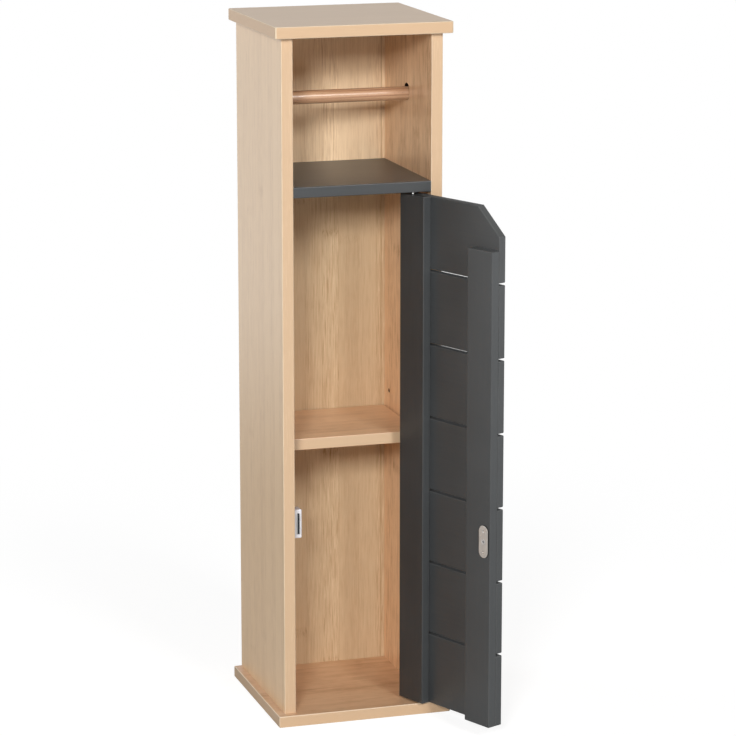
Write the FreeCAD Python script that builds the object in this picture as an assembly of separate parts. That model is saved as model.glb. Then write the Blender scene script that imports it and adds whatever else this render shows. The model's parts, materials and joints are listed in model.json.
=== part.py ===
import FreeCAD, Part
import math
import os

from FreeCAD import Vector

# A narrow floor-standing cabinet for toilet paper: an open niche with a roll rod on top,
# a compartment with an adjustable shelf below, and a pivoted slatted door.
# Millimetres and degrees. X is to the right, Y to the back and Z up.
# The origin lies under the middle of the base board, on the floor.

# Outer box
overall_width = 200.0
overall_depth = 195.0
overall_height = 780.0

# Boards of the carcass
top_thickness = 13.0
base_thickness = 13.0
side_thickness = 13.0
divider_thickness = 12.0
side_overhang = 9.0
front_overhang = 10.0
niche_height = 161.5
board_round = 1.2
panel_round = 1.0
top_corner_round = 2.5

# Back panel, held in a groove in each side panel
back_thickness = 5.0
back_setback = 12.0
groove_depth = 5.0
groove_clearance = 0.1

# Adjustable shelf on four pegs, with a spare row of peg holes above
shelf_thickness = 13.0
shelf_top = 318.0
shelf_side_gap = 1.0
shelf_back_gap = 1.0
shelf_front_setback = 34.5
peg_diameter = 5.0
peg_flat = 1.0
peg_in_panel = 8.0
peg_under_shelf = 8.0
peg_inset = 17.0
peg_clearance = 0.05
peg_row_pitch = 34.0

# Roll rod, lying loose in a blind hole at each end
rod_diameter = 15.0
rod_above_divider = 85.0
rod_setback = 86.5
rod_hole_play = 4.2
rod_hole_depth = 8.0
rod_end_gap = 1.0
rod_seat_gap = 0.3
rod_chamfer = 0.8

# Door: seven slats on two stiles
slat_count = 7
slat_thickness = 9.0
slat_gap = 2.6
slat_proud = 2.0
slat_round = 1.0
stile_thickness = 10.5
stile_width = 39.0
stile_round = 0.8
latch_gap = 2.0
door_bottom_gap = 1.5
door_top_gap = 3.0
finger_width = 34.5
finger_height = 30.0
latch_stile_drop = 45.0

# Door pivots: a steel pin at each end of the hinge stile, turning in a bush.
# The lower bush has a flange that carries the door; the upper one ends flush with the divider.
pin_diameter = 3.0
pin_wall = 1.3
pin_from_end = 12.5
pin_in_stile = 22.0
pin_in_bush = 7.5
pin_chamfer = 0.4
press_clearance = 0.02
running_clearance = 0.05
bush_diameter = 6.0
bush_depth = 8.5
flange_diameter = 8.0
thrust_clearance = 0.3
swing_clearance = 0.3
stop_clearance = 0.4

# Magnetic catch on the left side panel and its strike plate on the door
catch_height = 225.0
catch_width = 13.5
catch_depth = 15.0
catch_length = 33.0
catch_round = 1.6
catch_clearance = 0.3
magnet_thickness = 2.4
magnet_length = 24.0
magnet_depth = 6.5
magnet_recess = 1.5
pole_thickness = 1.0
pole_proud = 0.5
pole_from_panel = 9.3
pole_clearance = 0.05
strike_width = 14.5
strike_length = 36.5
strike_thickness = 1.2
strike_round = 0.5
strike_inset = 9.4
dimple_radius = 2.0
dimple_depth = 0.6
dimple_offset = 11.5

# Dowels
board_dowel_diameter = 8.0
board_dowel_cover = 4.0
board_dowel_in_end = 20.0
board_dowel_inset = 30.0
slat_dowel_diameter = 6.0
slat_dowel_cover = 3.0
stile_dowel_cover = 4.5
dowel_clearance = 0.05
dowel_end_gap = 0.5
dowel_chamfer = 0.6

# Screws: the base screws stand in the base board, the small ones hold the catch and the strike
base_screw_diameter = 4.0
base_screw_length = 36.0
base_screw_head = 7.6
base_screw_inset = 62.0
base_screw_sunk = 0.4
catch_screw_diameter = 3.0
catch_screw_length = 14.0
catch_screw_head = 5.6
catch_screw_pan = 2.0
catch_screw_spread = 11.0
catch_screw_setback = 10.5
catch_screw_seat = 7.0
strike_screw_diameter = 2.6
strike_screw_length = 10.0
strike_screw_head = 5.6
screw_clearance = 0.05
head_clearance = 0.2
cross_width = 1.0
cross_depth = 1.1
cross_margin = 0.9
point_length = 3.0
point_flat = 0.3

# Planes of the carcass
front = front_overhang - overall_depth / 2
rear = overall_depth / 2
inner_right = overall_width / 2 - side_overhang - side_thickness
inner_left = -inner_right
side_middle = inner_right + side_thickness / 2
top_low = overall_height - top_thickness
divider_top = top_low - niche_height
divider_low = divider_top - divider_thickness
back_front = rear - back_setback - back_thickness
shelf_low = shelf_top - shelf_thickness
shelf_front = front + shelf_front_setback
shelf_back = back_front - shelf_back_gap
peg_rows = (shelf_front + peg_inset, shelf_back - peg_inset)
peg_height = shelf_low - peg_flat
rod_radius = rod_diameter / 2
rod_height = divider_top + rod_above_divider
rod_y = front + rod_setback
rod_hole_radius = rod_radius + rod_hole_play / 2
rod_hole_height = rod_height - rod_radius - rod_seat_gap + rod_hole_radius
board_dowel_rows = (front + board_dowel_inset, rear - board_dowel_inset)
base_screw_rows = (front + base_screw_inset, rear - base_screw_inset)

# The shut door. The seam is the plane where the slats lie on the stiles.
door_low = base_thickness + door_bottom_gap
door_high = divider_low - door_top_gap
door_left = inner_left + latch_gap
slats_front = front - slat_proud
seam = slats_front + slat_thickness
stile_inner = seam + stile_thickness
latch_stile_high = door_high - latch_stile_drop
slat_height = (door_high - door_low - (slat_count - 1) * slat_gap) / slat_count

# The pivot stands just clear of the arc that the door's outer hinge corner sweeps.
pin_radius = pin_diameter / 2
pin_from_seam = pin_radius + pin_wall
pin_from_face = slat_thickness + pin_from_seam
pivot_reach = math.hypot(pin_from_end, pin_from_face) + swing_clearance
pivot_x = inner_right - pivot_reach
pivot_y = seam + pin_from_seam
door_right = pivot_x + pin_from_end

# The door stands open against its stop: its face just clears the right panel's front corner.
corner_depth = pivot_y - front
corner_distance = math.hypot(pivot_reach, corner_depth)
corner_angle = math.degrees(math.atan2(corner_depth, pivot_reach))
open_angle = 180.0 - corner_angle - math.degrees(
    math.asin((pin_from_face + stop_clearance) / corner_distance))

# The catch stands behind the strike plate of the shut door.
pole_front = stile_inner + strike_thickness + catch_clearance
catch_front = pole_front + pole_proud
strike_x = door_left + strike_inset
pole_x = inner_left + pole_from_panel

ALONG_X = Vector(1, 0, 0)
ALONG_Y = Vector(0, 1, 0)
ALONG_Z = Vector(0, 0, 1)


def box(low, high):
    """A plain box between two corners."""
    size = Vector(*high) - Vector(*low)
    return Part.makeBox(size.x, size.y, size.z, Vector(*low))


def rounded(solid, radius, direction=None):
    """Rounds every straight edge, or only those that run along one direction."""
    edges = []
    for edge in solid.Edges:
        run = edge.Vertexes[-1].Point - edge.Vertexes[0].Point
        if direction is None or run.cross(direction).Length < 1e-6:
            edges.append(edge)
    return solid.makeFillet(radius, edges)


def rod_between(start, direction, length, radius):
    """A round bar or bore from a point along a direction."""
    return Part.makeCylinder(radius, length, start, direction)


def round_edges(solid):
    """The full circles of a turned solid."""
    return [edge for edge in solid.Edges if edge.Closed and isinstance(edge.Curve, Part.Circle)]


def chamfered_pin(start, direction, length, radius, chamfer):
    """A round bar with both ends broken."""
    bar = rod_between(start, direction, length, radius)
    return bar.makeChamfer(chamfer, round_edges(bar))


def cut(solid, tools):
    """The solid with every tool taken away."""
    return solid.cut(Part.makeCompound(tools)) if tools else solid


def turned_to(solid, point, direction):
    """Moves a solid made at the origin, with its length down -Z, so that it points along direction."""
    placed = solid.copy()
    placed.Placement = FreeCAD.Placement(point, FreeCAD.Rotation(Vector(0, 0, -1), direction))
    return placed


def opened(solid):
    """Turns a piece of the shut door about the pivots to where the open door stands."""
    return solid.rotated(Vector(pivot_x, pivot_y, 0), ALONG_Z, open_angle)


def countersunk_screw(diameter, length, head):
    """A wood screw down -Z from the top of its sunk head."""
    radius = diameter / 2
    cone_height = (head - diameter) / 2
    body = Part.makeCone(radius, head / 2, cone_height, Vector(0, 0, -cone_height))
    return crossed(body.fuse(shank(radius, cone_height, length)), head)


def pan_screw(diameter, length, head, pan):
    """A wood screw down -Z from under its domed head, whose seat is at the origin."""
    cap = Part.makeCylinder(head / 2, pan)
    top = [edge for edge in round_edges(cap) if edge.CenterOfMass.z > pan / 2]
    cap = cap.makeFillet(pan / 2, top)
    return crossed(cap.fuse(shank(diameter / 2, 0.0, length)), head, pan)


def shank(radius, start, length):
    """The straight shank of a screw and its point."""
    straight = Part.makeCylinder(radius, length - point_length - start, Vector(0, 0, point_length - length))
    point = Part.makeCone(point_flat, radius, point_length, Vector(0, 0, -length))
    return straight.fuse(point)


def crossed(screw, head, top=0.0):
    """Cuts the cross recess into a screw's head."""
    half = head / 2 - cross_margin
    low = top - cross_depth
    along = box((-half, -cross_width / 2, low), (half, cross_width / 2, top + 1.0))
    across = box((-cross_width / 2, -half, low), (cross_width / 2, half, top + 1.0))
    return screw.cut(along.fuse(across)).removeSplitter()


def sunk_hole(point, direction, diameter, head, length):
    """The clearance hole for a countersunk screw, from its head's face inwards."""
    cone_height = (head - diameter) / 2
    lift = direction * -1.0
    hole = rod_between(point + lift, direction, length + 1.0, diameter / 2 + screw_clearance)
    outer = head / 2 + screw_clearance
    sink = Part.makeCone(outer, diameter / 2 + screw_clearance, cone_height, point, direction)
    mouth = rod_between(point + lift, direction, 1.0, outer)
    return hole.fuse(sink).fuse(mouth)


def board_dowel_joints():
    """Each carcass dowel joint: the face point, the way into the board, and the board's thickness."""
    joints = []
    for x in (-side_middle, side_middle):
        for y in board_dowel_rows:
            joints.append((Vector(x, y, top_low), ALONG_Z, top_thickness))
            joints.append((Vector(x, y, base_thickness), ALONG_Z * -1, base_thickness))
    for x, out in ((inner_left, ALONG_X * -1), (inner_right, ALONG_X)):
        for y in board_dowel_rows:
            middle = divider_low + divider_thickness / 2
            joints.append((Vector(x, y, middle), out, side_thickness))
    return joints


def board_dowel_bores():
    """The bores of the carcass dowels, as tools for every board that they cross."""
    bores = []
    radius = board_dowel_diameter / 2 + dowel_clearance
    for face, into, thickness in board_dowel_joints():
        depth = thickness - board_dowel_cover
        start = face - into * board_dowel_in_end
        bores.append(rod_between(start, into, board_dowel_in_end + depth, radius))
    return bores


def board_dowels():
    """The dowels themselves, short of the bottoms of their bores."""
    dowels = []
    for face, into, thickness in board_dowel_joints():
        depth = thickness - board_dowel_cover
        start = face - into * (board_dowel_in_end - dowel_end_gap)
        length = board_dowel_in_end + depth - 2 * dowel_end_gap
        dowels.append(chamfered_pin(start, into, length, board_dowel_diameter / 2, dowel_chamfer))
    return Part.makeCompound(dowels)


def base_screw_points():
    """The head of each base screw, just above the floor."""
    return [Vector(x, y, base_screw_sunk) for x in (-side_middle, side_middle) for y in base_screw_rows]


def base_screws():
    """The screws that hold the side panels on the base board."""
    screw = countersunk_screw(base_screw_diameter, base_screw_length, base_screw_head)
    return Part.makeCompound([turned_to(screw, point, ALONG_Z) for point in base_screw_points()])


def base_screw_bores():
    """The clearance and pilot bores of the base screws."""
    return [sunk_hole(point, ALONG_Z, base_screw_diameter, base_screw_head, base_screw_length)
            for point in base_screw_points()]


def top_board():
    """The overhanging top, with rounded corners and eased upper and lower rims."""
    half = overall_width / 2
    board = box((-half, -rear, top_low), (half, rear, overall_height))
    board = rounded(board, top_corner_round, ALONG_Z)
    rims = [edge for edge in board.Edges if edge.BoundBox.ZLength < board_round]
    return cut(board.makeFillet(board_round, rims), board_dowel_bores())


def base_board():
    """The overhanging base, with the bore of the lower pivot's bush."""
    half = overall_width / 2
    board = rounded(box((-half, -rear, 0), (half, rear, base_thickness)), board_round)
    return cut(board, board_dowel_bores() + base_screw_bores() + [bush_bore(base_thickness, ALONG_Z * -1)])


def back_groove():
    """The space that the back panel needs, across both side panels."""
    reach = inner_right + groove_depth
    low = (-reach, back_front - groove_clearance, base_thickness)
    return box(low, (reach, back_front + back_thickness + groove_clearance, top_low))


def peg_points(inner_face, height):
    """Where the pegs of one side enter its panel."""
    return [Vector(inner_face, y, height) for y in peg_rows]


def side_panel(inner_face, out):
    """One side panel, with its groove and the bores for dowels, pegs, screws and the rod."""
    low_x, high_x = sorted((inner_face, inner_face + out.x * side_thickness))
    panel = box((low_x, front, base_thickness), (high_x, rear, top_low))
    panel = rounded(panel, panel_round, ALONG_Z)
    tools = board_dowel_bores() + base_screw_bores() + [back_groove()]
    for height in (peg_height, peg_height + peg_row_pitch):
        for point in peg_points(inner_face, height):
            depth = peg_in_panel + dowel_end_gap
            tools.append(rod_between(point, out, depth, peg_diameter / 2 + peg_clearance))
    rod_hole = Vector(inner_face, rod_y, rod_hole_height)
    tools.append(rod_between(rod_hole, out, rod_hole_depth, rod_hole_radius))
    if out.x < 0:
        tools += catch_screw_bores()
    return cut(panel, tools)


def back_panel():
    """The thin back, slid into the grooves of the side panels."""
    reach = inner_right + groove_depth - groove_clearance
    return box((-reach, back_front, base_thickness), (reach, back_front + back_thickness, top_low))


def divider_shelf():
    """The fixed painted shelf between the niche and the compartment."""
    board = box((inner_left, front, divider_low), (inner_right, back_front, divider_top))
    board = rounded(board, panel_round, ALONG_X)
    return cut(board, board_dowel_bores() + [bush_bore(divider_low, ALONG_Z)])


def adjustable_shelf():
    """The loose shelf on its pegs."""
    low = (inner_left + shelf_side_gap, shelf_front, shelf_low)
    high = (inner_right - shelf_side_gap, shelf_back, shelf_top)
    return rounded(box(low, high), panel_round)


def shelf_pegs():
    """Four pegs, each with a flat on the half that carries the shelf."""
    pegs = []
    for inner_face, out in ((inner_left, ALONG_X * -1), (inner_right, ALONG_X)):
        for point in peg_points(inner_face, peg_height):
            start = point - out * peg_under_shelf
            length = peg_in_panel + peg_under_shelf
            peg = chamfered_pin(start, out, length, peg_diameter / 2, pin_chamfer)
            near, far = sorted((inner_face, start.x - out.x))
            over = box((near, point.y - peg_diameter, shelf_low), (far, point.y + peg_diameter, shelf_top))
            pegs.append(peg.cut(over))
    return Part.makeCompound(pegs)


def roll_rod():
    """The rod that a roll turns on, longer than the niche by its two sockets."""
    reach = inner_right + rod_hole_depth - rod_end_gap
    return chamfered_pin(Vector(-reach, rod_y, rod_height), ALONG_X, 2 * reach, rod_radius, rod_chamfer)


def bush_bore(face, into):
    """The blind bore of a pivot bush, from a board's face into it."""
    return rod_between(Vector(pivot_x, pivot_y, face), into, bush_depth, bush_diameter / 2 + press_clearance)


def pivot_bush(face, into, flange_height=0.0):
    """A bush sunk into a board's face, with a flange towards the door where it carries the door."""
    start = Vector(pivot_x, pivot_y, face)
    bush = rod_between(start, into, bush_depth, bush_diameter / 2)
    if flange_height:
        flange = rod_between(start, into * -1, flange_height, flange_diameter / 2)
        bush = bush.fuse(flange).removeSplitter()
    mouth = start - into * flange_height
    return bush.cut(rod_between(mouth, into, flange_height + bush_depth, pin_radius + running_clearance))


def pivot_pin(face, stile_end, into):
    """The steel pin from inside the hinge stile into the bush behind a board's face."""
    low, high = sorted((stile_end - into.z * pin_in_stile, face + into.z * pin_in_bush))
    start = Vector(pivot_x, pivot_y, low)
    return opened(chamfered_pin(start, ALONG_Z, high - low, pin_radius, pin_chamfer))


def pin_bores():
    """The bores for both pins in the ends of the hinge stile."""
    radius = pin_radius + press_clearance
    lower = rod_between(Vector(pivot_x, pivot_y, door_low), ALONG_Z, pin_in_stile, radius)
    upper = rod_between(Vector(pivot_x, pivot_y, door_high), ALONG_Z * -1, pin_in_stile, radius)
    return [lower, upper]


def slat_span(index):
    """The lower and upper edge of a slat, counted from the bottom."""
    low = door_low + index * (slat_height + slat_gap)
    return low, low + slat_height


def stiles():
    """The left edge, right edge and top of the hinge stile and the latch stile."""
    hinge = (door_right - stile_width, door_right, door_high)
    latch = (door_left, door_left + stile_width, latch_stile_high)
    return hinge, latch


def slat_dowel_points():
    """One dowel where each slat crosses each stile, in the middle of the overlap."""
    points = []
    for left, right, high in stiles():
        for index in range(slat_count):
            slat_low, slat_high = slat_span(index)
            middle = (slat_low + min(slat_high, high)) / 2
            points.append(Vector((left + right) / 2, seam, middle))
    return points


def slat_dowel_bores():
    """The blind bores of the slat dowels, through the seam."""
    depth_out = slat_thickness - slat_dowel_cover
    depth_in = stile_thickness - stile_dowel_cover
    radius = slat_dowel_diameter / 2 + dowel_clearance
    return [rod_between(point - ALONG_Y * depth_out, ALONG_Y, depth_out + depth_in, radius)
            for point in slat_dowel_points()]


def slat_dowels():
    """The dowels that hold the slats on the stiles."""
    depth_out = slat_thickness - slat_dowel_cover - dowel_end_gap
    depth_in = stile_thickness - stile_dowel_cover - dowel_end_gap
    dowels = []
    for point in slat_dowel_points():
        start = point - ALONG_Y * depth_out
        radius = slat_dowel_diameter / 2
        dowels.append(opened(chamfered_pin(start, ALONG_Y, depth_out + depth_in, radius, dowel_chamfer)))
    return Part.makeCompound(dowels)


def door_slat(index):
    """One slat. The top one has its latch corner cut off for the fingers."""
    low, high = slat_span(index)
    outline = [(door_left, low), (door_right, low), (door_right, high)]
    if index == slat_count - 1:
        outline += [(door_left + finger_width, high), (door_left, high - finger_height)]
    else:
        outline.append((door_left, high))
    corners = [Vector(x, slats_front, z) for x, z in outline]
    face = Part.Face(Part.makePolygon(corners + corners[:1]))
    slat = rounded(face.extrude(ALONG_Y * slat_thickness), slat_round)
    return opened(cut(slat, slat_dowel_bores()))


def hinge_stile():
    """The full-height stile that holds the pivot pins."""
    left, right, high = stiles()[0]
    stile = rounded(box((left, seam, door_low), (right, stile_inner, high)), stile_round)
    return opened(cut(stile, slat_dowel_bores() + pin_bores()))


def latch_stile():
    """The shorter stile that carries the strike plate."""
    left, right, high = stiles()[1]
    stile = rounded(box((left, seam, door_low), (right, stile_inner, high)), stile_round)
    return opened(cut(stile, slat_dowel_bores() + [strike_screw_bore()]))


def strike_face():
    """The middle of the strike plate's outer face on the shut door."""
    return Vector(strike_x, stile_inner + strike_thickness, catch_height)


def strike_screw_bore():
    """The hole of the strike plate's screw, through the plate and into the stile."""
    return sunk_hole(strike_face(), ALONG_Y * -1, strike_screw_diameter, strike_screw_head,
                     strike_screw_length)


def strike_plate():
    """A plate with round ends, an eased rim, one sunk hole and two dimples."""
    radius = strike_width / 2
    half = strike_length / 2 - radius
    centre = strike_face()
    plate = box((strike_x - radius, stile_inner, catch_height - half),
                (strike_x + radius, centre.y, catch_height + half))
    for lift in (-half, half):
        end = Vector(strike_x, stile_inner, catch_height + lift)
        plate = plate.fuse(rod_between(end, ALONG_Y, strike_thickness, radius))
    plate = plate.removeSplitter()
    rim = [edge for edge in plate.Edges if edge.BoundBox.YMin > centre.y - strike_round]
    plate = plate.makeFillet(strike_round, rim)
    dimples = []
    for lift in (-dimple_offset, dimple_offset):
        ball = centre + Vector(0, dimple_radius - dimple_depth, lift)
        dimples.append(Part.makeSphere(dimple_radius, ball))
    return opened(cut(plate, dimples + [strike_screw_bore()]))


def strike_screw():
    """The sunk screw of the strike plate."""
    screw = countersunk_screw(strike_screw_diameter, strike_screw_length, strike_screw_head)
    return opened(turned_to(screw, strike_face(), ALONG_Y * -1))


def magnet_pack(thickness, clearance=0.0):
    """The upright slot in the catch that the magnet and its pole plates fill."""
    half = magnet_length / 2 + clearance
    reach = thickness / 2 + clearance
    low = (pole_x - reach, pole_front, catch_height - half)
    return box(low, (pole_x + reach, catch_front + magnet_depth, catch_height + half))


def catch_screw_points():
    """The seat of each catch screw's head, inside the housing."""
    seat = inner_left + catch_screw_seat
    heights = (catch_height - catch_screw_spread, catch_height + catch_screw_spread)
    return [Vector(seat, catch_front + catch_screw_setback, height) for height in heights]


def catch_screw_bores():
    """The bores of the catch screws' shanks, through the housing and into the panel."""
    radius = catch_screw_diameter / 2 + screw_clearance
    return [rod_between(point, ALONG_X * -1, catch_screw_length + dowel_end_gap, radius)
            for point in catch_screw_points()]


def catch_housing():
    """The moulded body of the catch, with its slot and two sunk screw holes."""
    low = (inner_left, catch_front, catch_height - catch_length / 2)
    high = (inner_left + catch_width, catch_front + catch_depth, catch_height + catch_length / 2)
    body = box(low, high)
    shown = [edge for edge in body.Edges if edge.CenterOfMass.x > inner_left + catch_round]
    body = body.makeFillet(catch_round, shown)
    slot = magnet_pack(magnet_thickness + 2 * pole_thickness, pole_clearance)
    tools = [slot] + catch_screw_bores()
    for point in catch_screw_points():
        tools.append(rod_between(point, ALONG_X, catch_width, catch_screw_head / 2 + head_clearance))
    return cut(body, tools)


def catch_magnet():
    """The magnet, standing back from the pole plates' edges."""
    pack = magnet_pack(magnet_thickness)
    return pack.cut(box((pole_x - magnet_thickness, pole_front, catch_height - magnet_length),
                        (pole_x + magnet_thickness, pole_front + magnet_recess, catch_height + magnet_length)))


def catch_pole_plates():
    """The two steel plates beside the magnet."""
    pack = magnet_pack(magnet_thickness + 2 * pole_thickness)
    return pack.cut(magnet_pack(magnet_thickness))


def catch_screws():
    """The two screws of the catch."""
    screw = pan_screw(catch_screw_diameter, catch_screw_length, catch_screw_head, catch_screw_pan)
    return Part.makeCompound([turned_to(screw, point, ALONG_X * -1) for point in catch_screw_points()])


def pieces():
    """Every node of the stand by name."""
    down = ALONG_Z * -1
    made = {
        "top_board": top_board(),
        "base_board": base_board(),
        "left_side_panel": side_panel(inner_left, ALONG_X * -1),
        "right_side_panel": side_panel(inner_right, ALONG_X),
        "back_panel": back_panel(),
        "divider_shelf": divider_shelf(),
        "adjustable_shelf": adjustable_shelf(),
        "shelf_pegs": shelf_pegs(),
        "roll_rod": roll_rod(),
        "hinge_stile": hinge_stile(),
        "latch_stile": latch_stile(),
        "upper_pivot_pin": pivot_pin(divider_low, door_high, ALONG_Z),
        "lower_pivot_pin": pivot_pin(base_thickness, door_low, down),
        "upper_pivot_bush": pivot_bush(divider_low, ALONG_Z),
        "lower_pivot_bush": pivot_bush(base_thickness, down, door_bottom_gap - thrust_clearance),
        "strike_plate": strike_plate(),
        "strike_screw": strike_screw(),
        "catch_housing": catch_housing(),
        "catch_magnet": catch_magnet(),
        "catch_pole_plates": catch_pole_plates(),
        "catch_screws": catch_screws(),
        "slat_dowels": slat_dowels(),
        "carcass_dowels": board_dowels(),
        "base_screws": base_screws(),
    }
    for index in range(slat_count):
        made[f"door_slat_{index + 1}"] = door_slat(index)
    return made


os.makedirs("parts", exist_ok=True)
for name, shape in pieces().items():
    shape.exportStep(f"parts/{name}.step")
print(f"door opens {open_angle:.3f} degrees about x {pivot_x:.3f}, y {pivot_y:.3f}")
print(f"rod axis at y {rod_y:.3f}, z {rod_height:.3f}")
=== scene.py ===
"""Looks of a toilet paper stand: bamboo boards, a painted slatted door, a beech rod and small fittings."""
import json
import math
from typing import NamedTuple

import bmesh
import bpy
from bpy.props import FloatProperty, FloatVectorProperty, PointerProperty
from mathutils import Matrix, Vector


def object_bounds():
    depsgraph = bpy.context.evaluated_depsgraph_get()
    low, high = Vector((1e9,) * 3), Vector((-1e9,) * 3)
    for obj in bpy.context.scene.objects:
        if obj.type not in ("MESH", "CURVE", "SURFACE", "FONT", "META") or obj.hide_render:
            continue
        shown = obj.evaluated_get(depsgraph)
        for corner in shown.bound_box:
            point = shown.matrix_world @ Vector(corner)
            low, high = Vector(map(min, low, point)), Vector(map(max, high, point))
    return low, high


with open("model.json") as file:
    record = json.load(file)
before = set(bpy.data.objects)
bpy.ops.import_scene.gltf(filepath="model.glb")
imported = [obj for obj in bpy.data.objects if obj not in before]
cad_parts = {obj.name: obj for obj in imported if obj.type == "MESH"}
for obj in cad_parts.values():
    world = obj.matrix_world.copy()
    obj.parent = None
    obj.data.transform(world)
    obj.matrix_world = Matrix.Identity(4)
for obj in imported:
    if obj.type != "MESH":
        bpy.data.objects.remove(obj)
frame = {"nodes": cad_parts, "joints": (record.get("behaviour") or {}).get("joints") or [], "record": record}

bl_info = {
    "name": "Toilet paper stand",
    "version": (1, 0, 0),
    "blender": (4, 5, 0),
    "location": "3D View > Sidebar > Stand",
    "description": "Finishes every piece of a slatted toilet paper stand and sets a plain stage",
    "category": "Object",
}

CAD_BOX = [list(corner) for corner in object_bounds()]
MILLIMETRE = 0.001
WHITE = (1.0, 1.0, 1.0, 1.0)

# The frame holds the door open; this is its angle from the shut door.
HINGE = next(joint for joint in frame["joints"] if joint["name"] == "door_hinge")
DOOR_OPEN_ANGLE = math.radians(-HINGE["range_deg"][0])


def shade(red, green, blue):
    """A colour picked on screen, 0 to 255, as the linear values that a shader takes."""
    linear = []
    for level in (red, green, blue):
        part = level / 255
        linear.append(part / 12.92 if part <= 0.04045 else ((part + 0.055) / 1.055) ** 2.4)
    return (*linear, 1.0)


def colour(name, description, default):
    """A colour that a user may change."""
    return FloatVectorProperty(name=name, description=description, default=default, size=4,
                               min=0.0, max=1.0, subtype="COLOR")


def length(name, description, default):
    """A length that a user may change."""
    return FloatProperty(name=name, description=description, default=default, min=0.0, unit="LENGTH",
                         precision=4)


def share(name, description, default):
    """A number from 0 to 1 that a user may change."""
    return FloatProperty(name=name, description=description, default=default, min=0.0, max=1.0,
                         subtype="FACTOR")


def point(name, description, default):
    """A place in the stand's frame that a user may change."""
    return FloatVectorProperty(name=name, description=description, default=default, size=3,
                               subtype="TRANSLATION", unit="LENGTH")


class BambooLook(bpy.types.PropertyGroup):
    """Colours and sizes of the bamboo boards."""
    pale_fibre: colour("Pale fibre", "Lightest streaks of the bamboo", shade(233, 202, 164))
    mid_fibre: colour("Fibre", "Main colour of the bamboo", shade(218, 185, 146))
    dark_fibre: colour("Dark fibre", "Darkest streaks of the bamboo", shade(176, 135, 94))
    edge_band: colour("Edge band", "Main colour of the boards' edges", shade(216, 182, 146))
    end_grain: colour("End grain", "Darker ends of the boards that lie flat", shade(190, 160, 126))
    # The arris colour is a painted highlight along the boards' rounded arrises.
    arris: colour("Arris", "Lighter rounded arrises of the boards", shade(247, 232, 206))
    # Painted shade: the colour laid inside the bores.
    bore_shade: colour("Bore", "Dark inside of the bores", shade(34, 22, 14))
    strip_width: length("Strip width", "Usual width of one bamboo strip", 22 * MILLIMETRE)
    streak_width: length("Streak width", "Width of one streak in a strip", 0.9 * MILLIMETRE)
    streak_length: length("Streak length", "Length of one streak along the grain", 40 * MILLIMETRE)
    knuckle_spacing: length("Knuckle spacing", "Distance between the knuckles of one strip",
                            255 * MILLIMETRE)
    knuckle_reach: length("Knuckle reach", "How far a knuckle's flecks spread along the grain",
                          9 * MILLIMETRE)
    roughness: share("Roughness", "Roughness of the bamboo", 0.40)
    lacquer: share("Lacquer", "How much clear lacquer lies on the boards", 0.55)
    lacquer_roughness: share("Lacquer roughness", "Roughness of the clear lacquer", 0.22)


class PaintLook(bpy.types.PropertyGroup):
    """Colours and sizes of the grey paint on the door and the divider."""
    paint: colour("Paint", "Colour of the grey paint", shade(67, 69, 70))
    rubbed: colour("Rubbed arris", "Paint rubbed thin along the arrises", shade(92, 92, 90))
    peel_size: length("Peel size", "Size of the paint's soft ripples", 1.4 * MILLIMETRE)
    grain_width: length("Grain width", "Width of the wood grain that shows through", 1.6 * MILLIMETRE)
    grain_length: length("Grain length", "Length of the wood grain that shows through", 60 * MILLIMETRE)
    roughness: share("Roughness", "Roughness of the paint on the door", 0.30)
    shelf_roughness: share("Shelf roughness", "Roughness of the paint on top of the divider", 0.36)
    slat_edge_roughness: share("Slat edge roughness", "Roughness of the paint on the slats' long edges",
                               0.85)
    # Painted shade: the hinge stile's paint is made darker where the cabinet keeps light off it.
    hinge_stile_painted_shade: share("Hinge stile shade", "How much darker the hinge stile's paint is", 0.22)


class RodLook(bpy.types.PropertyGroup):
    """Colours and sizes of the turned wood."""
    pale_beech: colour("Pale beech", "Lightest grain of the rod", shade(219, 181, 147))
    mid_beech: colour("Beech", "Main colour of the rod", shade(188, 145, 111))
    dark_beech: colour("Dark beech", "Darkest grain of the rod", shade(138, 94, 66))
    dowel: colour("Dowel", "Main colour of the raw dowels", shade(206, 168, 122))
    fleck_length: length("Fleck length", "Length of the small dark flecks", 2.4 * MILLIMETRE)
    roughness: share("Roughness", "Roughness of the bare wood", 0.42)
    polish: share("Polish", "How much polish lies on the turned wood", 0.45)
    polish_roughness: share("Polish roughness", "Roughness of the polish", 0.14)


class FittingLook(bpy.types.PropertyGroup):
    """Colours and roughness of the metal and plastic fittings."""
    steel: colour("Steel", "Bright steel of the pins, pegs and pole plates", shade(230, 230, 229))
    zinc: colour("Zinc", "Zinc plate of the screws", shade(252, 252, 251))
    nickel: colour("Nickel", "Satin nickel of the strike plate", shade(214, 210, 204))
    # Painted shade on the strike plate's side faces.
    nickel_rim_shade: colour("Nickel rim", "Dull side of the strike plate's rim", shade(58, 54, 50))
    catch: colour("Catch", "White moulding of the catch", shade(240, 238, 243))
    bush: colour("Bush", "Black nylon of the pivot bushes", shade(38, 38, 40))
    magnet: colour("Magnet", "Pressed ferrite of the magnet", shade(26, 27, 35))
    steel_roughness: share("Steel roughness", "Roughness of the steel", 0.28)
    zinc_roughness: share("Zinc roughness", "Roughness of the zinc plate", 0.24)
    nickel_roughness: share("Nickel roughness", "Roughness of the satin nickel", 0.42)
    catch_roughness: share("Catch roughness", "Roughness of the catch's moulding", 0.34)
    bush_roughness: share("Bush roughness", "Roughness of the nylon", 0.45)
    magnet_roughness: share("Magnet roughness", "Roughness of the ferrite", 0.60)


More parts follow.
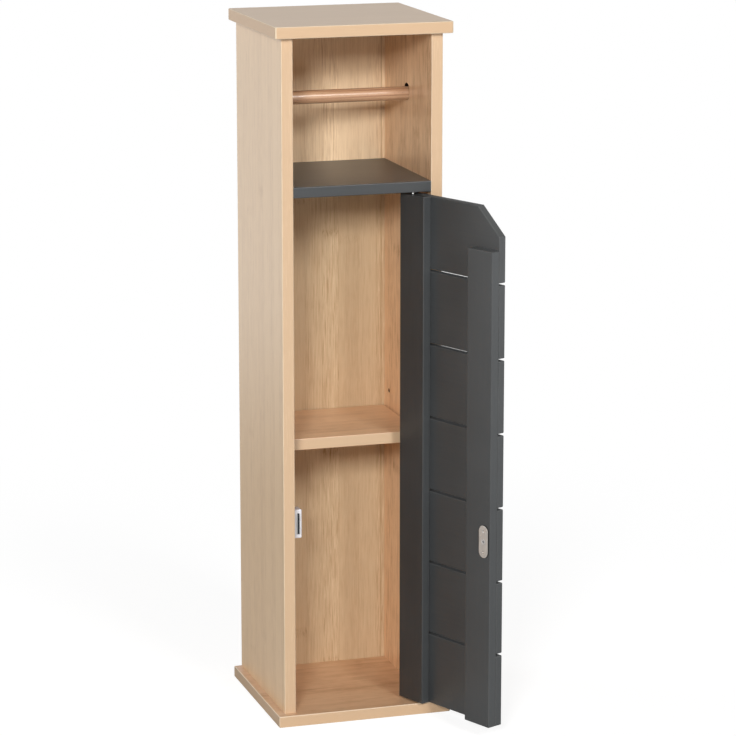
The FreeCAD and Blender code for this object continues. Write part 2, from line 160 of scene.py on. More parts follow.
class StageLook(bpy.types.PropertyGroup):
    """Floor, lamps and camera."""
    floor: colour("Floor", "Colour of the pale floor", shade(232, 232, 232))
    floor_reach: length("Floor reach", "Half of the floor's width", 14.0)
    floor_fade: length("Floor fade", "Distance from the stand where the floor turns plain white", 1.2)
    mirror_fade: length("Mirror fade", "Distance where gloss shows the floor half turned to white", 1.65)
    sky_level: share("Sky level", "Even light from all round", 0.03)
    key_level: share("Key level", "Light of the left front lamp on a surface that faces it", 0.57)
    key_place: point("Key place", "Where the left front lamp stands", (-2.08, -4.42, 2.17))
    key_size: length("Key size", "Width of the left front lamp", 0.84)
    fill_level: share("Fill level", "Light of the right front lamp on a surface that faces it", 0.36)
    fill_place: point("Fill place", "Where the right front lamp stands", (1.01, -4.34, 2.78))
    fill_size: length("Fill size", "Width of the right front lamp", 1.12)
    rear_level: share("Rear level", "Light of the left rear lamp on a surface that faces it", 0.26)
    right_rear_level: share("Right rear level", "Light of the right rear lamp on a surface that faces it",
                            0.12)
    rear_place: point("Rear place", "Where the left rear lamp stands", (-2.9, 1.5, 1.7))
    rear_size: length("Rear size", "Width of each rear lamp", 1.6)
    low_level: share("Low level", "Light of the lamp under the floor on the stand's underside", 0.40)
    low_place: point("Low place", "Where the lamp under the floor lies", (0.0, 0.0, -2.0))
    low_size: length("Low size", "Width of the lamp under the floor", 1.2)
    camera_place: point("Camera place", "Where the camera stands", (-1.02489, -3.4, 1.17782))
    camera_aim: point("Camera aim", "What the camera looks at", (0.03323, 0.0, 0.38076))
    lens: FloatProperty(name="Lens", description="Focal length for a frame 36 mm wide", default=158.55,
                        unit="CAMERA")


NOISE_ROUGHNESS = 0.55
OPEN_AIR_SAMPLES = 8


class Finish:
    """A procedural material: short ways to add its nodes and wire them up."""

    def __init__(self, name):
        self.material = bpy.data.materials.new(name)
        self.material.use_nodes = True
        self.tree = self.material.node_tree
        self.shader = self.tree.nodes["Principled BSDF"]

    def feed(self, socket, value):
        """Links a socket to another node, or sets it where the value is a constant."""
        if isinstance(value, bpy.types.NodeSocket):
            self.tree.links.new(value, socket)
        else:
            socket.default_value = value

    def add(self, kind, inputs=None, **settings):
        """Adds one node with its settings, and its inputs by name or number."""
        node = self.tree.nodes.new("ShaderNode" + kind)
        for name, value in settings.items():
            setattr(node, name, value)
        for key, value in (inputs or {}).items():
            self.feed(node.inputs[key], value)
        return node

    def calc(self, operation, *values):
        """One sum on plain numbers."""
        node = self.add("Math", operation=operation)
        for socket, value in zip(node.inputs, values):
            self.feed(socket, value)
        return node.outputs[0]

    def total(self, start, *terms):
        """A start value plus each term times its weight."""
        for term, weight in terms:
            start = self.calc("MULTIPLY_ADD", term, weight, start)
        return start

    def ease(self, value, low, high):
        """Rises softly from 0 at low to 1 at high, or falls where high is the lower one."""
        node = self.add("MapRange", {"Value": value, "From Min": low, "From Max": high},
                        interpolation_type="SMOOTHSTEP")
        return node.outputs["Result"]

    def split(self, vector):
        """The three parts of a vector."""
        return self.add("SeparateXYZ", {0: vector}).outputs

    def turned(self, vector, angle):
        """A direction or place turned about the upright axis."""
        turn = (0.0, 0.0, angle)
        return self.add("Mapping", {"Vector": vector, "Rotation": turn}, vector_type="VECTOR").outputs[0]

    def streaks(self, parts, sizes, detail=2.0):
        """Noise whose grains have the given size along each of three measures."""
        scaled = [self.calc("DIVIDE", part, size) for part, size in zip(parts, sizes)]
        vector = self.add("CombineXYZ", dict(enumerate(scaled))).outputs[0]
        inputs = {"Vector": vector, "Scale": 1.0, "Detail": detail, "Roughness": NOISE_ROUGHNESS}
        return self.add("TexNoise", inputs).outputs["Fac"]

    def ramp(self, value, *stops):
        """Colours along a value, each stop with its place."""
        node = self.add("ValToRGB", {0: value})
        elements = node.color_ramp.elements
        while len(elements) < len(stops):
            elements.new(1.0)
        for element, (place, tint) in zip(elements, stops):
            element.position = place
            element.color = tint
        return node.outputs["Color"]

    def blend(self, amount, first, second):
        """One colour over another by an amount."""
        node = self.add("Mix", {0: amount, 6: first, 7: second}, data_type="RGBA")
        return node.outputs[2]

    def shaded(self, tint, value):
        """A colour made lighter or darker."""
        return self.add("HueSaturation", {"Value": value, "Color": tint}).outputs[0]

    def open_air(self, reach):
        """How open the surface is to its surroundings, 0 to 1, within a reach on its own piece."""
        node = self.add("AmbientOcclusion", {"Distance": reach}, samples=OPEN_AIR_SAMPLES, only_local=True)
        return node.outputs["AO"]

    def relief(self, height, depth, strength):
        """Fine relief of the surface; depth is the height of its tallest part."""
        node = self.add("Bump", {"Height": height, "Distance": depth, "Strength": strength})
        self.feed(self.shader.inputs["Normal"], node.outputs[0])

    def surface(self, base, roughness, metallic=0.0):
        """Sets the shader's main values."""
        self.feed(self.shader.inputs["Base Color"], base)
        self.feed(self.shader.inputs["Roughness"], roughness)
        self.feed(self.shader.inputs["Metallic"], metallic)

    def square_faces(self, normal):
        """How squarely a surface faces each axis, and 1 on the rounded arrises between faces."""
        facing = [self.calc("ABSOLUTE", part) for part in self.split(normal)]
        most = self.calc("MAXIMUM", self.calc("MAXIMUM", facing[0], facing[1]), facing[2])
        return facing, self.ease(most, 0.96, 0.80)


def nodes_of(slot):
    """The CAD nodes that the record gives to a material slot."""
    parts = frame["record"]["subparts"]
    return [part["node"] for part in parts if part["material_slot"] == slot]


def dress(node, finish):
    """Puts a finish on a CAD node."""
    for slot in frame["nodes"][node].material_slots:
        slot.material = finish.material


class Board(NamedTuple):
    """How one bamboo board is cut and finished."""
    grain: str                  # axis along its grain
    face: str                   # axis across its broad faces
    figure: float               # strength of its figure
    coarse: float               # width of its streaks, in streak widths
    broad: float                # strength of its broad bands
    tint: tuple                 # its own share of red, green and blue
    lacquer: float = 1.0        # share of the usual lacquer
    gloss: float = 0.5          # how much the bamboo under the lacquer mirrors
    end: float = 0.0            # how much its ends show end grain
    # arris: strength of the painted highlight along its arrises.
    arris: float = 0.75         # how much paler its arrises are
    # bored: its holes get painted shade inside.
    bored: bool = False         # holes in it are dark inside
    inside: int = 0             # which way its inside faces along the face axis, if that looks different
    outer_figure: float = None  # strength of its figure on the outside, if different
    # Painted light: a paler tint of its inside above the divider.
    head: tuple = None          # tint of its inside above the divider, if different
    seam: float = None          # place along X of an upright glue seam on its inside


def extent(node, axis):
    """The lowest and highest place of a CAD node along an axis, 0 to 2."""
    places = [corner[axis] for corner in frame["nodes"][node].bound_box]
    return min(places), max(places)


# The back's glue seam lies near the right panel.
SEAM_TO_PANEL = 4 * MILLIMETRE
SEAM_AT = extent("right_side_panel", 0)[0] - SEAM_TO_PANEL
SEAM_HALF_WIDTH = 0.9 * MILLIMETRE
SEAM_STRENGTH = 0.7

# The niche's painted light, a paler tint of the back's inside above the divider, fades in behind the
# divider.
NICHE_LIGHT_MARGIN = 2.5 * MILLIMETRE
DIVIDER_LOW, DIVIDER_TOP = extent("divider_shelf", 2)

BOARDS = {
    "top_board": Board(
        grain="X", face="Z", figure=0.20, coarse=1.0, broad=1.0, tint=(0.95, 0.96, 1.00),
        lacquer=0.2, end=0.35),
    "base_board": Board(
        grain="X", face="Z", figure=0.70, coarse=2.2, broad=2.0, tint=(0.99, 0.90, 0.89),
        lacquer=0.5, end=1.0),
    "left_side_panel": Board(
        grain="Z", face="X", figure=0.45, coarse=1.0, broad=1.3, tint=(1.10, 1.10, 1.06),
        bored=True),
    "right_side_panel": Board(
        grain="Z", face="X", figure=1.25, coarse=2.0, broad=1.0, tint=(1.19, 1.12, 1.12),
        bored=True, inside=-1, outer_figure=0.60),
    "back_panel": Board(
        grain="Z", face="Y", figure=0.95, coarse=1.0, broad=0.6, tint=(0.99, 1.06, 1.11),
        lacquer=0.1, gloss=0.15, inside=-1, head=(1.27, 1.39, 1.54), seam=SEAM_AT),
    "adjustable_shelf": Board(
        grain="X", face="Z", figure=0.50, coarse=1.8, broad=2.0, tint=(1.12, 1.04, 1.06),
        end=0.5, arris=0.0),
}
LOT_STEP = 0.37                 # how far apart the boards are cut from one wide pattern
LOT_SPREAD = 40.0               # how far apart the streaks of two strips lie in the noise
STRIP_RANDOMNESS = 0.75
SEAM_SHARE = 0.022              # width of the seam beside a strip, in strip widths
KNUCKLE_SPREAD = 7.0            # how far apart the knuckles of two strips may start, in spacings
KNUCKLE_WOBBLE = 3 * MILLIMETRE
KNUCKLE_CORE = 1 * MILLIMETRE
BORE_REACH = 25 * MILLIMETRE
GRAIN_DEPTH = 0.12 * MILLIMETRE

# A figure's tone runs from dark to pale about its middle.
MID_TONE = 0.52
TONE_REACH = 0.22
DARK_TONE = MID_TONE - TONE_REACH
PALE_TONE = MID_TONE + TONE_REACH


def tinted(fibre, tint):
    """A fibre's colour with a board's own share of red, green and blue."""
    return (*(part * factor for part, factor in zip(fibre, tint)), 1.0)


def fibre_colours(finish, figure, tint, look):
    """The colours of a board's fibres along its figure, from dark to pale."""
    fibres = (look.dark_fibre, look.mid_fibre, look.pale_fibre)
    dark, mid, pale = (tinted(fibre, tint) for fibre in fibres)
    return finish.ramp(figure, (DARK_TONE, dark), (MID_TONE, mid), (PALE_TONE, pale))


def bamboo_grain(finish, across, along, board, look):
    """Bamboo strips: their tone, from dark to pale, their finest fibres, and the height of their grain."""
    strip_inputs = {"W": across, "Scale": 1.0 / look.strip_width, "Randomness": STRIP_RANDOMNESS}
    strips = finish.add("TexVoronoi", strip_inputs, voronoi_dimensions="1D")
    tint, phase, vigour = finish.add("SeparateColor", {0: strips.outputs["Color"]}).outputs
    border = finish.add("TexVoronoi", strip_inputs, voronoi_dimensions="1D", feature="DISTANCE_TO_EDGE")
    seam = finish.ease(border.outputs["Distance"], SEAM_SHARE, 0.0)

    lot = finish.calc("MULTIPLY", tint, LOT_SPREAD)
    wide, long = look.streak_width * board.coarse, look.streak_length

    def marks(width, run, detail=2.0):
        """Marks of a width and a run along the grain, different in each strip."""
        return finish.streaks((across, along, lot), (width, run, 1.0), detail)

    streak = marks(wide, long)
    band = marks(wide * 6, long * 4, 1.0)
    fibre = marks(wide * 0.45, long * 0.4)
    cloud = marks(wide * 12, long * 0.6)
    dash = finish.ease(marks(wide * 0.8, long * 0.5), 0.56, 0.70)

    # Each strip has a knuckle at every spacing, from its own start.
    step = finish.calc("DIVIDE", along, look.knuckle_spacing)
    place = finish.calc("FRACT", finish.calc("MULTIPLY_ADD", phase, KNUCKLE_SPREAD, step))
    offset = finish.calc("ABSOLUTE", finish.calc("SUBTRACT", place, 0.5))
    wobble = finish.calc("SUBTRACT", marks(wide * 3, long), 0.5)
    gap = finish.calc("MULTIPLY", offset, look.knuckle_spacing)
    gap = finish.calc("MULTIPLY_ADD", wobble, KNUCKLE_WOBBLE, gap)
    near = finish.ease(gap, look.knuckle_reach, KNUCKLE_CORE)
    near = finish.calc("MULTIPLY", near, finish.ease(vigour, 0.15, 0.7))
    fleck = finish.ease(marks(wide * 0.9, wide * 5), 0.47, 0.62)
    knuckle = finish.calc("MULTIPLY", near, finish.total(0.25, (fleck, 0.75)))

    # The start values centre the bands and the lines on zero; some strips are calm and some are lively.
    bands = finish.total(-0.20, (tint, 0.10), (band, 0.14), (cloud, 0.16))
    lines = finish.total(-0.34, (streak, 0.40), (fibre, 0.24), (dash, 0.12))
    lines = finish.calc("MULTIPLY", lines, finish.total(0.3, (phase, 1.4)))
    tone = finish.total(MID_TONE, (bands, board.broad), (lines, 1.0), (knuckle, -0.13), (seam, -0.05))
    height = finish.total(0.0, (streak, 0.35), (fibre, 0.35), (dash, 0.3), (knuckle, -0.25), (seam, -0.5))
    return tone, fibre, height


def bamboo_finish(name, board, lot, look):
    """Bamboo board, with its grain along Z or X and its broad faces square to one axis."""
    finish = Finish(name)
    coords = finish.add("TexCoord").outputs
    x, y, z = finish.split(coords["Object"])
    facing, arris = finish.square_faces(coords["Normal"])
    face = "XYZ".index(board.face)
    if board.grain == "Z":
        along = z
        across = finish.total(lot, (x, 1.0), (y, 1.0))
    else:
        end = finish.ease(facing[0], 0.45, 0.65)
        flat = finish.calc("SUBTRACT", 1.0, end)
        along = finish.total(x, (finish.calc("MULTIPLY", y, end), 1.0))
        across = finish.total(lot, (z, 1.0), (finish.calc("MULTIPLY", y, flat), 1.0))
    tone, fibre, height = bamboo_grain(finish, across, along, board, look)

    inner = None
    if board.inside:
        inner = finish.ease(finish.split(coords["Normal"])[face], 0.3 * board.inside, 0.7 * board.inside)
    strength = board.figure
    if board.outer_figure:
        strength = finish.total(board.outer_figure, (inner, board.figure - board.outer_figure))
    figure = finish.calc("MULTIPLY_ADD", finish.calc("SUBTRACT", tone, MID_TONE), strength, MID_TONE)
    base = fibre_colours(finish, figure, board.tint, look)
    # Painted light on the inside above the divider.
    if board.head:
        head = fibre_colours(finish, figure, board.head, look)
        above = finish.ease(z, DIVIDER_LOW + NICHE_LIGHT_MARGIN, DIVIDER_TOP - NICHE_LIGHT_MARGIN)
        base = finish.blend(finish.calc("MULTIPLY", above, inner), base, head)
    if board.seam:
        beside = finish.calc("ABSOLUTE", finish.calc("SUBTRACT", x, board.seam))
        seam = finish.calc("MULTIPLY", finish.ease(beside, SEAM_HALF_WIDTH, 0.0), inner)
        base = finish.blend(finish.calc("MULTIPLY", seam, SEAM_STRENGTH), base, look.dark_fibre)

    # Edges show half of the figure's contrast in colours of their own.
    band = finish.ramp(finish.total(MID_TONE * 0.5, (tone, 0.5)), (DARK_TONE, look.mid_fibre),
                       (MID_TONE, look.edge_band), (PALE_TONE, look.pale_fibre))
    edge = finish.ease(facing[face], 0.65, 0.45)
    base = finish.blend(edge, base, band)
    if board.grain == "X":
        base = finish.blend(finish.calc("MULTIPLY", end, board.end), base, look.end_grain)
    # Painted highlight: the rounded arrises take the pale arris colour.
    base = finish.blend(finish.calc("MULTIPLY", arris, board.arris), base, look.arris)
    lacquer = board.lacquer * look.lacquer
    # Painted shade inside the bores, where the surface is closed in; the lacquer is taken off there too.
    if board.bored:
        bore_shade = finish.ease(finish.open_air(BORE_REACH), 0.92, 0.70)
        base = finish.blend(bore_shade, base, look.bore_shade)
        lacquer = finish.total(lacquer, (bore_shade, -lacquer))
    finish.surface(base, finish.total(look.roughness - 0.06, (fibre, 0.12), (arris, 0.05)))
    finish.relief(height, GRAIN_DEPTH, 0.6 * board.figure)
    finish.feed(finish.shader.inputs["Specular IOR Level"], board.gloss)
    finish.feed(finish.shader.inputs["Coat Weight"], lacquer)
    finish.feed(finish.shader.inputs["Coat Roughness"], look.lacquer_roughness)
    return finish


PEEL_DEPTH = 0.05 * MILLIMETRE
CLOUD_TO_PEEL = 60              # size of the paint's soft clouds, in ripple sizes


def paint_finish(name, grain, angle, level_roughness, look, darker=0.0):
    """Satin grey paint on wood whose grain runs along X or Z of a turned piece, with painted light that
    makes its end faces paler.

    Faces that look up or down have a roughness of their own.
    """
    finish = Finish(name)
    coords = finish.add("TexCoord").outputs
    place = finish.turned(coords["Object"], -angle)
    normal = finish.turned(coords["Normal"], -angle)
    x, y, z = finish.split(place)
    facing, arris = finish.square_faces(normal)
    wide, long = look.grain_width, look.grain_length
    sizes = (long, wide, wide) if grain == "X" else (wide, wide, long)
    grain_lines = finish.streaks((x, y, z), sizes, 3.0)
    peel = finish.streaks((x, y, z), (look.peel_size,) * 3, 1.0)
    cloud = finish.streaks((x, y, z), (look.peel_size * CLOUD_TO_PEEL,) * 3)
    rub = finish.calc("MULTIPLY", arris, finish.ease(cloud, 0.30, 0.62))
    # Painted light: the end faces are made paler.
    ends = finish.ease(facing[0], 0.7, 0.9)
    # darker is painted shade over the whole piece.
    value = finish.total(0.72 - darker, (cloud, 0.36), (grain_lines, 0.20), (ends, 0.35))
    worn = finish.blend(finish.calc("MULTIPLY", rub, 0.4), look.paint, look.rubbed)
    level = finish.ease(facing[2], 0.4, 0.9)
    roughness = finish.total(look.roughness - 0.07, (grain_lines, 0.06), (cloud, 0.08), (rub, 0.05),
                             (level, level_roughness - look.roughness))
    finish.surface(finish.shaded(worn, value), roughness)
    finish.relief(finish.total(0.0, (peel, 0.6), (grain_lines, 0.5)), PEEL_DEPTH, 0.7)
    return finish


LINE_LENGTH = 160 * MILLIMETRE
LINE_WIDTH = 1.6 * MILLIMETRE
BAND_LENGTH = 300 * MILLIMETRE
BAND_WIDTH = 5 * MILLIMETRE
FLECK_WIDTH = 0.35 * MILLIMETRE
PORE_DEPTH = 0.10 * MILLIMETRE


def turned_wood_finish(name, tints, look):
    """Bare turned wood with its grain along X."""
    finish = Finish(name)
    parts = finish.split(finish.add("TexCoord").outputs["Object"])
    lines = finish.streaks(parts, (LINE_LENGTH, LINE_WIDTH, LINE_WIDTH), 3.0)
    bands = finish.streaks(parts, (BAND_LENGTH, BAND_WIDTH, BAND_WIDTH), 1.0)
    flecks = finish.streaks(parts, (look.fleck_length, FLECK_WIDTH, FLECK_WIDTH), 1.0)
    fleck = finish.ease(flecks, 0.60, 0.72)
    tone = finish.total(0.0, (lines, 0.62), (bands, 0.40), (fleck, -0.10))
    pale, mid, dark = tints
    base = finish.ramp(tone, (0.32, dark), (0.50, mid), (0.70, pale))
    finish.surface(base, finish.total(look.roughness - 0.05, (lines, 0.10), (fleck, 0.08)))
    finish.relief(finish.total(0.0, (lines, 0.6), (fleck, -0.6)), PORE_DEPTH, 0.6)
    finish.feed(finish.shader.inputs["Coat Weight"], look.polish)
    finish.feed(finish.shader.inputs["Coat Roughness"], look.polish_roughness)
    return finish


BRUSH_WIDTH = 0.15 * MILLIMETRE
BRUSH_LENGTH = 12 * MILLIMETRE
PLATING_GRAIN = 0.5 * MILLIMETRE
HAZE_SIZE = 6 * MILLIMETRE
HOLLOW_REACH = 1.5 * MILLIMETRE
MARK_DEPTH = 0.02 * MILLIMETRE


def metal_finish(name, tint, brush, roughness, rim=None):
    """Plated metal with painted shade and more roughness in its hollows; brush is the size of one fine mark
    along X, Y and Z.

    A rim colour is painted shade on the side of a plate on the door.
    """
    finish = Finish(name)
    coords = finish.add("TexCoord").outputs
    parts = finish.split(coords["Object"])
    marks = finish.streaks(parts, brush)
    haze = finish.streaks(parts, (HAZE_SIZE,) * 3)
    # Painted shade: the colour darkens where the surface is closed in.
    openness = finish.ease(finish.open_air(HOLLOW_REACH), 0.35, 0.98)
    base = finish.shaded(tint, finish.total(0.04, (marks, 0.16), (haze, 0.12), (openness, 0.82)))
    # Painted shade on the plate's side faces.
    if rim:
        normal = finish.turned(coords["Normal"], -DOOR_OPEN_ANGLE)
        facing = finish.calc("ABSOLUTE", finish.split(normal)[1])
        base = finish.blend(finish.ease(facing, 0.96, 0.60), base, rim)
    dull = finish.total(roughness + 0.25, (marks, 0.12), (haze, 0.10), (openness, -0.35))
    finish.surface(base, dull, metallic=1.0)
    finish.relief(marks, MARK_DEPTH, 0.5)
    return finish


CATCH_SKIN = 0.4 * MILLIMETRE
BUSH_SKIN = 0.5 * MILLIMETRE
MAGNET_SKIN = 0.25 * MILLIMETRE
CLOUD_SIZE = 9 * MILLIMETRE


def moulded_finish(name, tint, grain, roughness):
    """Moulded plastic or pressed ferrite with a fine skin; grain is the size of its marks."""
    finish = Finish(name)
    parts = finish.split(finish.add("TexCoord").outputs["Object"])
    skin = finish.streaks(parts, (grain,) * 3)
    cloud = finish.streaks(parts, (CLOUD_SIZE,) * 3)
    base = finish.shaded(tint, finish.total(0.90, (skin, 0.10), (cloud, 0.10)))
    finish.surface(base, finish.total(roughness - 0.07, (skin, 0.08), (cloud, 0.06)))
    finish.relief(skin, MARK_DEPTH, 0.6)
    return finish


class STAND_OT_face_boards(bpy.types.Operator):
    """Gives each bamboo board its grain"""
    bl_idname = "stand.face_boards"
    bl_label = "Face the bamboo boards"

    def execute(self, context):
        look = context.scene.stand_bamboo
        for lot, node in enumerate(nodes_of("bamboo_board")):
            dress(node, bamboo_finish("bamboo_" + node, BOARDS[node], LOT_STEP * (lot + 1), look))
        return {"FINISHED"}


class STAND_OT_paint_grey(bpy.types.Operator):
    """Paints the slatted door and the divider shelf"""
    bl_idname = "stand.paint_grey"
    bl_label = "Paint the door and divider"

    def execute(self, context):
        look = context.scene.stand_paint
        angle = DOOR_OPEN_ANGLE
        slats = paint_finish("grey_paint_slats", "X", angle, look.slat_edge_roughness, look)
        own_finishes = {
            "divider_shelf": paint_finish("grey_paint_divider", "X", 0.0, look.shelf_roughness, look),
            "latch_stile": paint_finish("grey_paint_latch_stile", "Z", angle, look.roughness, look),
            # The hinge stile gets painted shade: its paint is made darker.
            "hinge_stile": paint_finish("grey_paint_hinge_stile", "Z", angle, look.roughness, look,
                                        darker=look.hinge_stile_painted_shade),
        }
        for node in nodes_of("grey_paint"):
            dress(node, own_finishes.get(node, slats))
        return {"FINISHED"}


class STAND_OT_turn_wood(bpy.types.Operator):
    """Gives the roll rod and the hidden dowels their wood"""
    bl_idname = "stand.turn_wood"
    bl_label = "Finish the rod and dowels"

    def execute(self, context):
        look = context.scene.stand_rod
        beech = turned_wood_finish("beech_rod", (look.pale_beech, look.mid_beech, look.dark_beech), look)
        raw = turned_wood_finish("raw_dowel", (look.pale_beech, look.dowel, look.dark_beech), look)
        for node in nodes_of("beech"):
            dress(node, beech)
        for node in nodes_of("dowel_wood"):
            dress(node, raw)
        return {"FINISHED"}


class STAND_OT_plate_fittings(bpy.types.Operator):
    """Plates the pins, pegs, screws and the strike plate"""
    bl_idname = "stand.plate_fittings"
    bl_label = "Plate the metal fittings"

    def execute(self, context):
        look = context.scene.stand_fittings
        upright_brush = (BRUSH_WIDTH, BRUSH_WIDTH, BRUSH_LENGTH)
        even_brush = (PLATING_GRAIN,) * 3
        finishes = {
            "bright_steel": metal_finish("bright_steel", look.steel, upright_brush, look.steel_roughness),
            "zinc_screw": metal_finish("zinc_plate", look.zinc, even_brush, look.zinc_roughness),
            # The strike plate's side faces get painted shade.
            "satin_nickel": metal_finish("satin_nickel", look.nickel, upright_brush, look.nickel_roughness,
                                         rim=look.nickel_rim_shade),
        }
        for slot, finish in finishes.items():
            for node in nodes_of(slot):
                dress(node, finish)
        return {"FINISHED"}


class STAND_OT_mould_plastics(bpy.types.Operator):
    """Finishes the catch's housing and magnet and the pivot bushes"""
    bl_idname = "stand.mould_plastics"
    bl_label = "Finish the catch and bushes"

    def execute(self, context):
        look = context.scene.stand_fittings
        finishes = {
            "white_plastic": moulded_finish("white_moulding", look.catch, CATCH_SKIN, look.catch_roughness),
            "nylon": moulded_finish("black_nylon", look.bush, BUSH_SKIN, look.bush_roughness),
            "ferrite": moulded_finish("pressed_ferrite", look.magnet, MAGNET_SKIN, look.magnet_roughness),
        }
        for slot, finish in finishes.items():
            for node in nodes_of(slot):
                dress(node, finish)
        return {"FINISHED"}


class Sky(Finish):
    """The world's light, wired up like a finish."""

    def __init__(self, name):
        self.world = bpy.data.worlds.new(name)
        self.world.use_nodes = True
        self.tree = self.world.node_tree


def even_sky(look):
    """White where the camera, gloss or glass shows it, and an even soft light elsewhere."""
    sky = Sky("white_surround")
    rays = sky.add("LightPath").outputs
    seen = sky.calc("MAXIMUM", rays["Is Camera Ray"], rays["Is Glossy Ray"])
    seen = sky.calc("MAXIMUM", seen, rays["Is Transmission Ray"])
    strength = sky.add("MapRange", {"Value": seen, "To Min": look.sky_level, "To Max": 1.0})
    back = sky.tree.nodes["Background"]
    sky.feed(back.inputs["Color"], WHITE)
    sky.feed(back.inputs["Strength"], strength.outputs["Result"])
    return sky.world


NEAR_FLOOR = 0.25               # distance from the stand's middle where the floor begins to turn white
NEAR_WHITE = 0.6                # how far the floor is turned to plain white close to the stand
FLOOR_LIFT = 0.6                # glow added to the rest of the floor where it is seen
MIRROR_SOFTNESS = 0.55          # half of the mirror fade's length, in mirror fades


def floor_finish(look):
    """A pale floor that keeps a light shadow of the stand and turns plain white further away."""
    finish = Finish("pale_floor")
    finish.tree.nodes.remove(finish.shader)
    rays = finish.add("LightPath").outputs
    direct = finish.calc("MAXIMUM", rays["Is Camera Ray"], rays["Is Transmission Ray"])
    place = finish.add("TexCoord").outputs["Object"]
    distance = finish.add("VectorMath", {0: place}, operation="LENGTH").outputs["Value"]
    far = finish.ease(distance, NEAR_FLOOR, look.floor_fade)
    open_floor = finish.total(NEAR_WHITE, (far, 1.0 - NEAR_WHITE))
    mirror = finish.ease(distance, look.mirror_fade * (1.0 - MIRROR_SOFTNESS),
                         look.mirror_fade * (1.0 + MIRROR_SOFTNESS))
    plain = finish.calc("MAXIMUM", finish.calc("MULTIPLY", open_floor, direct),
                        finish.calc("MULTIPLY", mirror, rays["Is Glossy Ray"]))
    matt = finish.add("BsdfDiffuse", {"Color": look.floor}).outputs[0]
    glow = finish.calc("MULTIPLY", direct, FLOOR_LIFT)
    lift = finish.add("Emission", {"Color": WHITE, "Strength": glow}).outputs[0]
    near = finish.add("AddShader", {0: matt, 1: lift}).outputs[0]
    white = finish.add("Emission", {"Color": WHITE, "Strength": 1.0}).outputs[0]
    ground = finish.add("MixShader", {0: plain, 1: near, 2: white}).outputs[0]
    below = finish.add("NewGeometry").outputs["Backfacing"]
    clear = finish.add("BsdfTransparent").outputs[0]
    shown = finish.add("MixShader", {0: below, 1: ground, 2: clear}).outputs[0]
    finish.feed(finish.tree.nodes["Material Output"].inputs["Surface"], shown)
    return finish


def link(name, data):
    """A new object of the scene."""
    obj = bpy.data.objects.new(name, data)
    bpy.context.scene.collection.objects.link(obj)
    return obj


def aim(obj, place, target):
    """Stands an object at a place, looking at a target."""
    obj.location = place
    obj.rotation_euler = (Vector(target) - Vector(place)).to_track_quat("-Z", "Y").to_euler()


def soft_lamp(name, place, target, size, level):
    """A square lamp, not seen itself, that lights a matt white surface facing it to the given level."""
    data = bpy.data.lights.new(name, "AREA")
    data.shape = "SQUARE"
    data.size = size
    distance = (Vector(target) - Vector(place)).length
    data.energy = level * math.pi ** 2 * distance ** 2
    lamp = link(name, data)
    lamp.visible_camera = False
    aim(lamp, place, target)


OPENING_MARGIN = 2.5 * MILLIMETRE
SENSOR_WIDTH = 36.0             # in the lens's own unit, millimetres


def floor_sheet(reach):
    """A flat square with an opening under the base board, through which a low lamp lights its underside."""
    half_width = extent("base_board", 0)[1] - OPENING_MARGIN
    half_depth = extent("base_board", 1)[1] - OPENING_MARGIN
    sheet = bmesh.new()
    bmesh.ops.create_grid(sheet, x_segments=1, y_segments=1, size=reach)
    inset = bmesh.ops.inset_individual(sheet, faces=list(sheet.faces), thickness=reach / 2,
                                       use_even_offset=True)
    opening = [face for face in sheet.faces if face not in inset["faces"]]
    size = Vector((half_width, half_depth, 1.0)) * 2 / reach
    bmesh.ops.scale(sheet, vec=size, verts=list(opening[0].verts))
    bmesh.ops.delete(sheet, geom=opening, context="FACES_ONLY")
    mesh = bpy.data.meshes.new("floor")
    sheet.to_mesh(mesh)
    sheet.free()
    return mesh


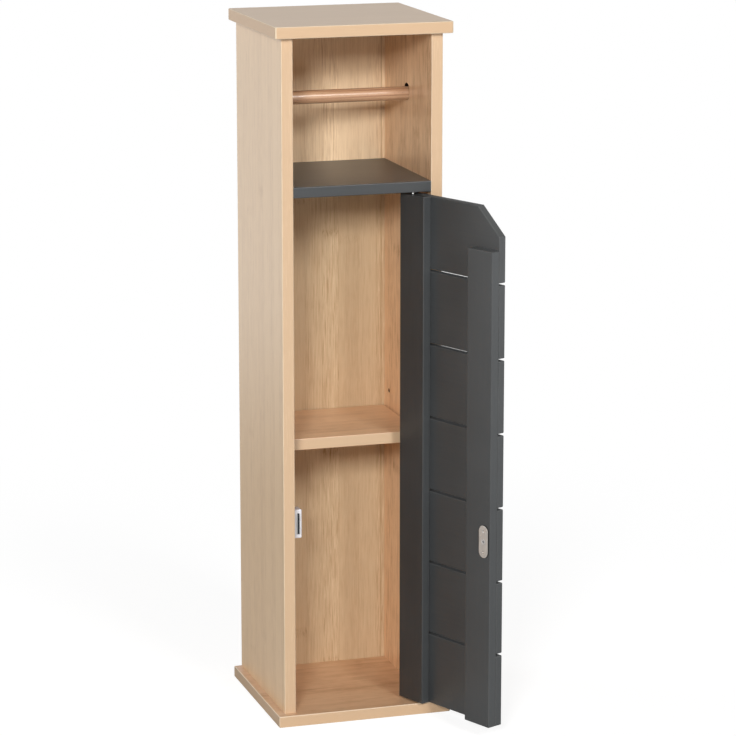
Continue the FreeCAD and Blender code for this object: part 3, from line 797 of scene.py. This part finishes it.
class STAND_OT_set_stage(bpy.types.Operator):
    """Sets the floor, the lamps and the camera"""
    bl_idname = "stand.set_stage"
    bl_label = "Set the stage"

    def execute(self, context):
        look = context.scene.stand_stage
        mesh = floor_sheet(look.floor_reach)
        floor = link("floor", mesh)
        mesh.materials.append(floor_finish(look).material)

        context.scene.world = even_sky(look)
        middle = Vector(CAD_BOX[0]).lerp(Vector(CAD_BOX[1]), 0.5)
        soft_lamp("left_front_lamp", look.key_place, middle, look.key_size, look.key_level)
        soft_lamp("right_front_lamp", look.fill_place, middle, look.fill_size, look.fill_level)
        left, back, height = look.rear_place
        right_rear = (-left, back, height)
        soft_lamp("left_rear_lamp", look.rear_place, middle, look.rear_size, look.rear_level)
        soft_lamp("right_rear_lamp", right_rear, middle, look.rear_size, look.right_rear_level)
        soft_lamp("low_lamp", look.low_place, (0.0, 0.0, 0.0), look.low_size, look.low_level)

        camera = bpy.data.cameras.new("camera")
        camera.sensor_width = SENSOR_WIDTH
        camera.lens = look.lens
        view = link("camera", camera)
        aim(view, look.camera_place, look.camera_aim)
        context.scene.camera = view
        context.scene.view_settings.view_transform = "Standard"
        return {"FINISHED"}


STEPS = (STAND_OT_face_boards, STAND_OT_paint_grey, STAND_OT_turn_wood, STAND_OT_plate_fittings,
         STAND_OT_mould_plastics, STAND_OT_set_stage)
LOOKS = {"stand_bamboo": BambooLook, "stand_paint": PaintLook, "stand_rod": RodLook,
         "stand_fittings": FittingLook, "stand_stage": StageLook}


class STAND_PT_looks(bpy.types.Panel):
    """The stand's finishes and stage"""
    bl_idname = "STAND_PT_looks"
    bl_label = "Toilet paper stand"
    bl_space_type = "VIEW_3D"
    bl_region_type = "UI"
    bl_category = "Stand"

    def draw(self, context):
        for name, look in LOOKS.items():
            box = self.layout.box()
            for key in look.__annotations__:
                box.prop(getattr(context.scene, name), key)
        for step in STEPS:
            self.layout.operator(step.bl_idname)


CLASSES = (*LOOKS.values(), *STEPS, STAND_PT_looks)


def register():
    """Makes the properties, operators and panel known to Blender."""
    for cls in CLASSES:
        bpy.utils.register_class(cls)
    for name, look in LOOKS.items():
        setattr(bpy.types.Scene, name, PointerProperty(type=look))


def unregister():
    """Takes them away again."""
    for name in LOOKS:
        delattr(bpy.types.Scene, name)
    for cls in reversed(CLASSES):
        bpy.utils.unregister_class(cls)


def main():
    """Dresses the stand and sets the stage."""
    register()
    bpy.ops.stand.face_boards()
    bpy.ops.stand.paint_grey()
    bpy.ops.stand.turn_wood()
    bpy.ops.stand.plate_fittings()
    bpy.ops.stand.mould_plastics()
    bpy.ops.stand.set_stage()


if __name__ == "__main__":
    main()
